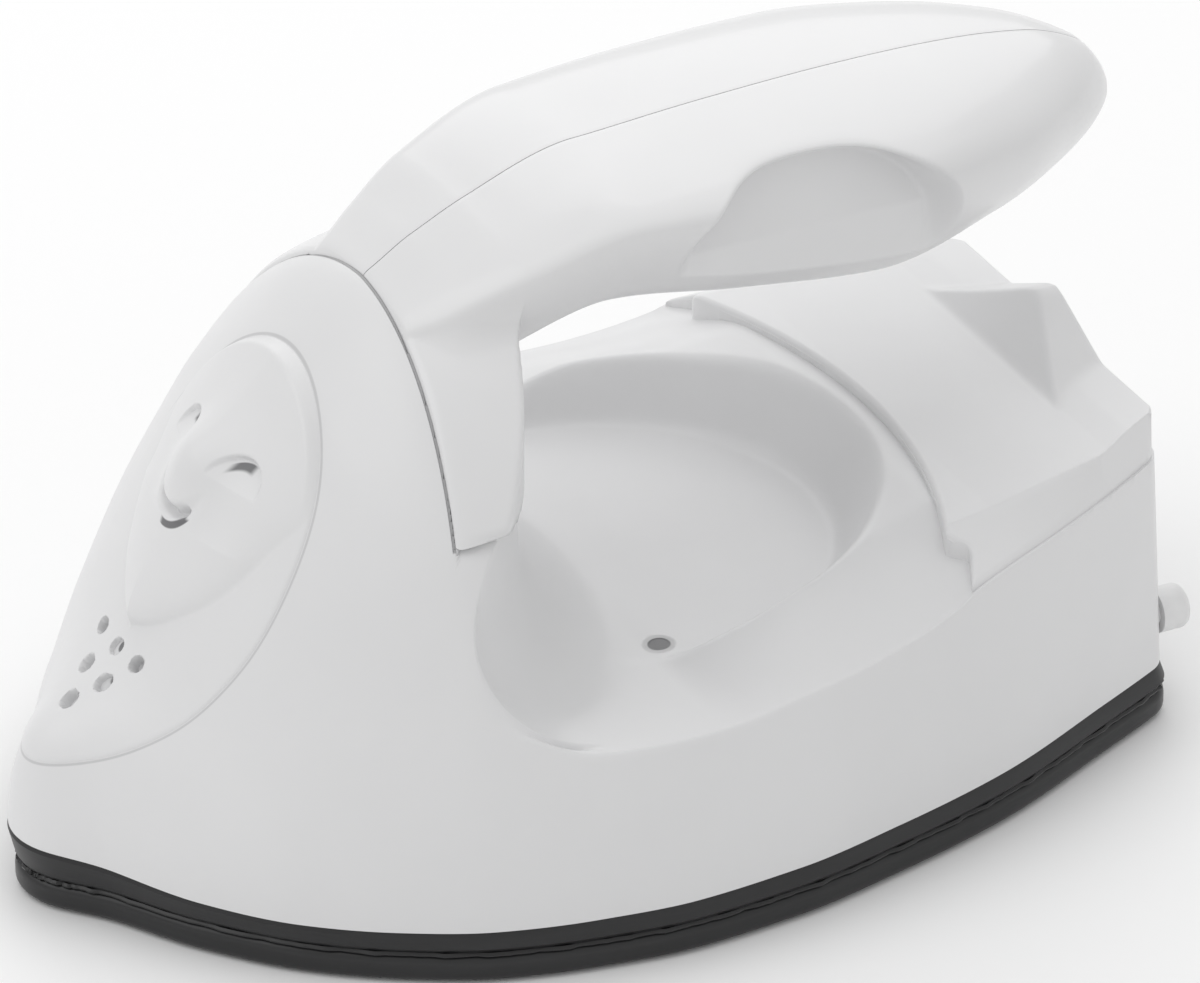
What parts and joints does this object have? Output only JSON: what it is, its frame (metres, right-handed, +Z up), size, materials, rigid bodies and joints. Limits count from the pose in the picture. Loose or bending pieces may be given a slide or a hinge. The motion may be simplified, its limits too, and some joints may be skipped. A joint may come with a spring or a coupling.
{
  "type": "mini handheld heat press",
  "caption": "Small hand-held craft iron: an oval-nosed heated soleplate under a white scooped shell, with an overhanging hollow handle, a vented nose plate and a raised rear cover.",
  "frame": {"origin": "on the underside of the sole, under the middle of the body's length and width", "axes": "+Z up from the sole, +Y from the nose to the tail, +X to the side"},
  "size_m": [0.0656, 0.0994, 0.0576],
  "materials": {
    "zinc_steel": "zinc plated",
    "white_shell": "glossy moulded plastic",
    "phenolic": "phenolic board",
    "foot_rubber": "soft white rubber",
    "aluminium_sheet": "mill finish",
    "ceramic": "fired ceramic, matt",
    "lead_white": "silicone insulation",
    "felt": "ceramic felt",
    "circuit_board": "solder mask",
    "lead_red": "silicone insulation",
    "resistor_body": "lacquered",
    "brass": "bare",
    "mica": "mica sheet",
    "lamp_lens": "tinted epoxy",
    "sealant": "silicone sealant",
    "black_skirt": "satin heat-proof plastic",
    "sole_coating": "satin non-stick coating",
    "lead_black": "silicone insulation",
    "terminal_plastic": "moulded nylon",
    "fuse_case": "tinned case"
  },
  "bodies": {
    "root": {"body_screws": "zinc_steel", "body_shell": "white_shell", "carrier_plate": "phenolic", "clamp_screws": "zinc_steel", "cord_clamp": "phenolic", "cord_clamp_screws": "zinc_steel", "cord_gland": "foot_rubber", "fuse_clip": "zinc_steel", "fuse_clip_screw": "zinc_steel", "handle_cross_screws": "zinc_steel", "handle_half_left": "white_shell", "handle_half_right": "white_shell", "handle_screws": "zinc_steel", "heat_baffle": "aluminium_sheet", "heater_clamp": "zinc_steel", "heater_element": "ceramic", "heater_feed_lead": "lead_white", "heater_return_lead": "lead_white", "heel_feet": "foot_rubber", "insulation_pad": "felt", "lamp_board": "circuit_board", "lamp_lead": "lead_red", "lamp_resistor": "resistor_body", "lower_contact_plate": "brass", "lower_mica_sheet": "mica", "nose_plate": "white_shell", "pilot_lamp": "lamp_lens", "rear_deck_cover": "white_shell", "sealing_bead": "sealant", "sole_skirt": "black_skirt", "soleplate": "sole_coating", "supply_lead": "lead_black", "terminal_block": "terminal_plastic", "terminal_screws": "brass", "thermal_fuse": "fuse_case", "upper_contact_plate": "brass", "upper_mica_sheet": "mica"}
  },
  "joints": []
}
